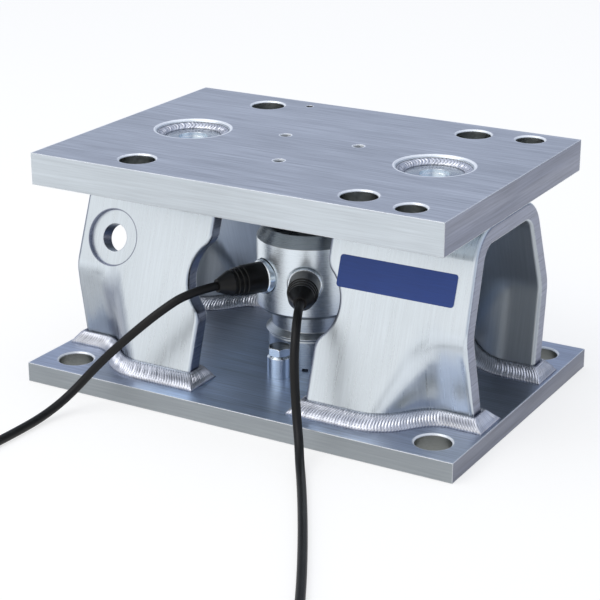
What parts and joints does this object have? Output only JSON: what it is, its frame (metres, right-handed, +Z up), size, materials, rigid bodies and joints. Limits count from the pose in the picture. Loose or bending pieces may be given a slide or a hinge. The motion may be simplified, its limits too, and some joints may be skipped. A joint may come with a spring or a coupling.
{
  "type": "weighing module",
  "caption": "Steel weighing module: a column load cell rocks between a base plate and a loose top plate, with pressed, welded yokes and studs that stop lift-off.",
  "frame": {"origin": "middle of the base plate's underside", "axes": "+X along the module towards the yoke with the blue plate, -Y the front, +Z up"},
  "size_m": [0.3911, 0.5435, 0.1524],
  "materials": {
    "plate_steel": "brushed",
    "yoke_steel": "satin brushed",
    "weld_steel": "as welded",
    "cell_steel": "satin turned",
    "fastener_steel": "satin",
    "plug_plastic": "moulded",
    "cable_sheath": "satin",
    "seal_rubber": "matte",
    "label_blue": "satin",
    "board_laminate": "satin",
    "tie_plastic": "moulded"
  },
  "bodies": {
    "root": {"base_plate": "plate_steel", "top_plate": "plate_steel", "left_yoke": "yoke_steel", "right_yoke": "yoke_steel", "left_yoke_weld": "weld_steel", "right_yoke_weld": "weld_steel", "left_check_weld": "weld_steel", "right_check_weld": "weld_steel", "load_cell_housing": "cell_steel", "load_cell_column": "cell_steel", "lower_receiver": "cell_steel", "upper_receiver": "cell_steel", "left_check_stud": "fastener_steel", "right_check_stud": "fastener_steel", "left_check_washer": "fastener_steel", "right_check_washer": "fastener_steel", "left_check_nut": "fastener_steel", "right_check_nut": "fastener_steel", "receiver_screws": "fastener_steel", "stop_bolt": "fastener_steel", "stop_sleeve": "fastener_steel", "left_plug_ring": "fastener_steel", "front_plug_ring": "fastener_steel", "left_far_ring": "fastener_steel", "front_far_ring": "fastener_steel", "left_socket": "fastener_steel", "front_socket": "fastener_steel", "left_plug": "plug_plastic", "front_plug": "plug_plastic", "left_far_plug": "plug_plastic", "front_far_plug": "plug_plastic", "left_cable": "cable_sheath", "front_cable": "cable_sheath", "left_coil": "cable_sheath", "front_coil": "cable_sheath", "left_tail": "cable_sheath", "front_tail": "cable_sheath", "lower_seal": "seal_rubber", "upper_seal": "seal_rubber", "label_plate": "label_blue", "load_cell_board": "board_laminate", "left_coil_ties": "tie_plastic", "front_coil_ties": "tie_plastic"}
  },
  "joints": []
}
